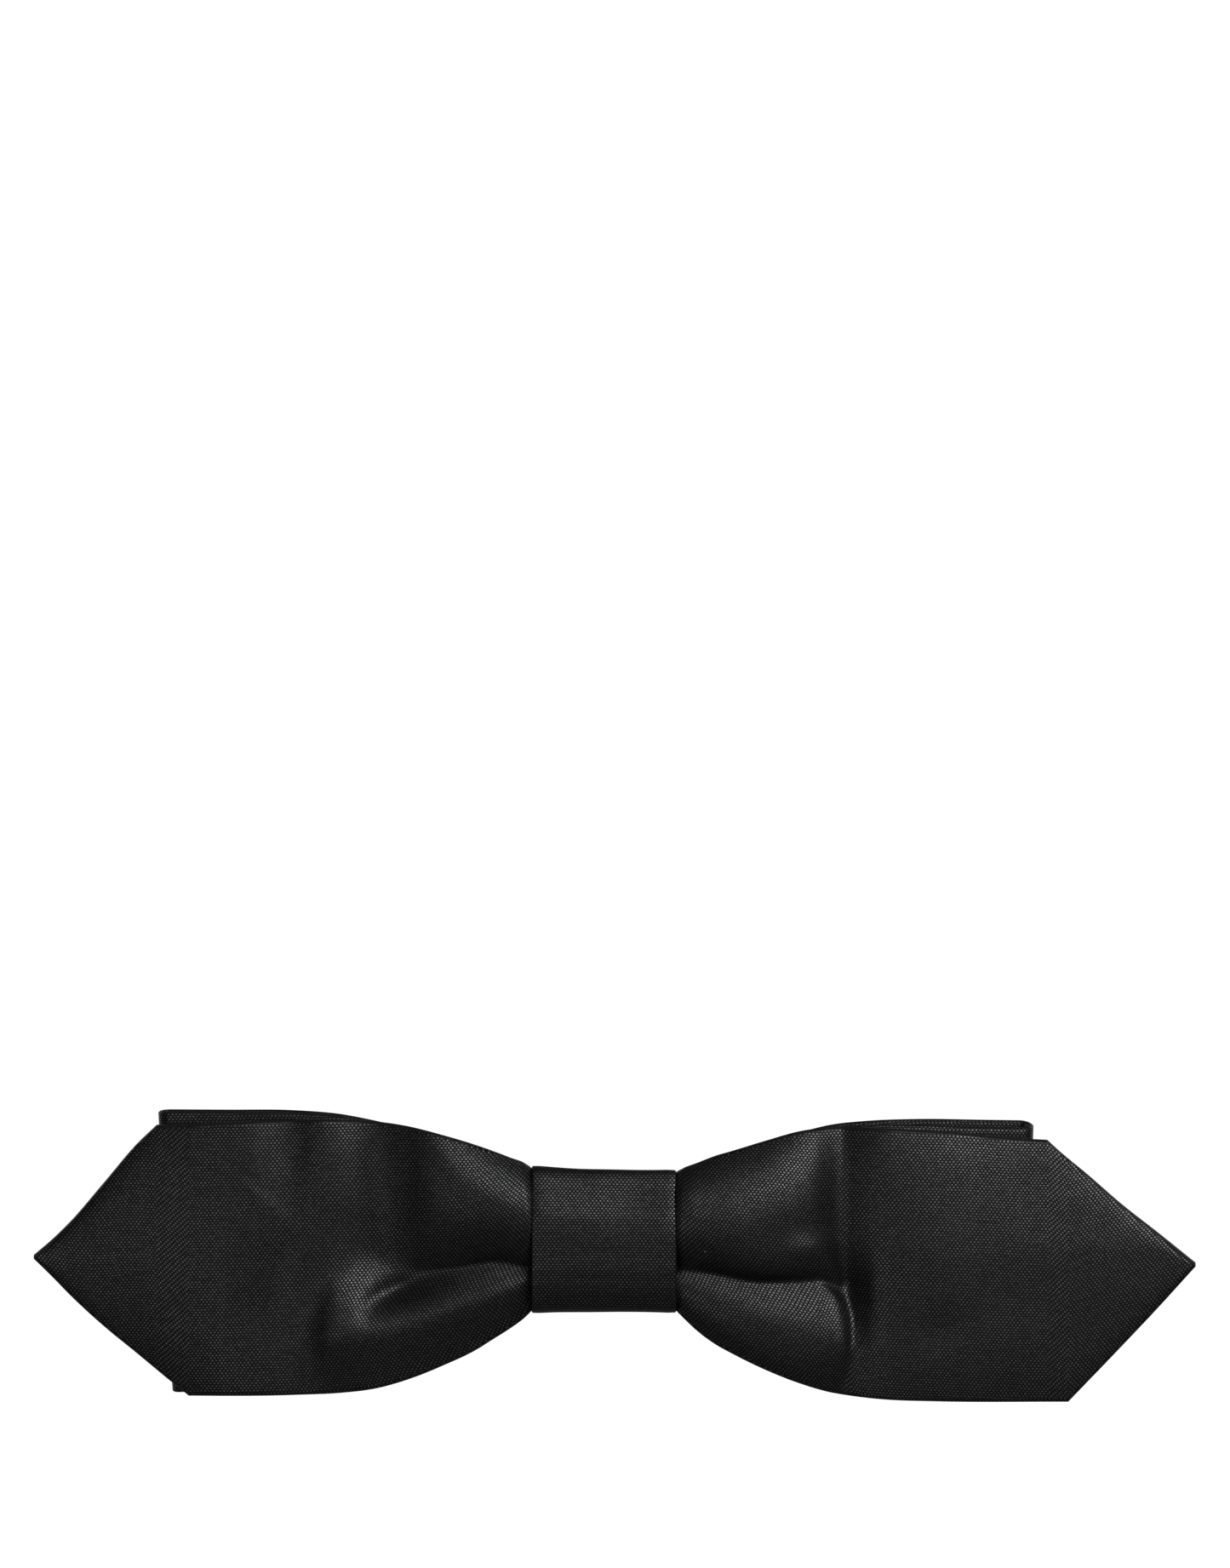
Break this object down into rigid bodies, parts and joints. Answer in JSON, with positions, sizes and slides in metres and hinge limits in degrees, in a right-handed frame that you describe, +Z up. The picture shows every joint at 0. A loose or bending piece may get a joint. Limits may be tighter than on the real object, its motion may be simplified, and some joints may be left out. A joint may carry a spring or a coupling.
{
  "type": "bow tie",
  "caption": "Ready-tied bow tie with pointed ends: a folded, lined cloth blade over a flat loop, gathered under a wrapped knot, with a sprung collar clip behind.",
  "frame": {"origin": "middle of the face of the clip plate that lies against the collar", "axes": "+Z up as worn; +X along the bow, to the viewer's right from in front; the front of the bow faces -Y"},
  "size_m": [0.13, 0.0157, 0.0327],
  "materials": {
    "tie_cloth": "near-black plain weave with a soft sheen",
    "interlining": "undyed, matt",
    "sewing_thread": "black, slightly glossy",
    "clip_steel": "nickel-plated sheet, bright",
    "spring_wire": "drawn wire"
  },
  "bodies": {
    "bow": {"blade_front_cloth": "tie_cloth", "blade_interlining": "interlining", "blade_back_cloth": "tie_cloth", "loop_cloth": "tie_cloth", "loop_interlining": "interlining", "wrap_cloth": "tie_cloth", "wrap_interlining": "interlining", "gather_thread": "sewing_thread", "wrap_stitches": "sewing_thread", "clip_plate": "clip_steel", "left_hinge_pin": "clip_steel", "right_hinge_pin": "clip_steel", "left_jaw_spring": "spring_wire", "right_jaw_spring": "spring_wire"},
    "left_jaw": {"left_jaw": "clip_steel"},
    "right_jaw": {"right_jaw": "clip_steel"}
  },
  "joints": [
    {"name": "left_jaw_hinge", "type": "hinge", "parent": "bow", "child": "left_jaw", "pos_m": [-0.015, 0.002, 0], "axis": [0, 0, -1], "range_deg": [0, 30], "stiffness_Nm_per_rad": 0.02, "springref_deg": -57.3, "deforming": ["left_jaw_spring"]},
    {"name": "right_jaw_hinge", "type": "hinge", "parent": "bow", "child": "right_jaw", "pos_m": [0.015, 0.002, 0], "axis": [0, 0, 1], "range_deg": [0, 30], "stiffness_Nm_per_rad": 0.02, "springref_deg": -57.3, "deforming": ["right_jaw_spring"]}
  ]
}
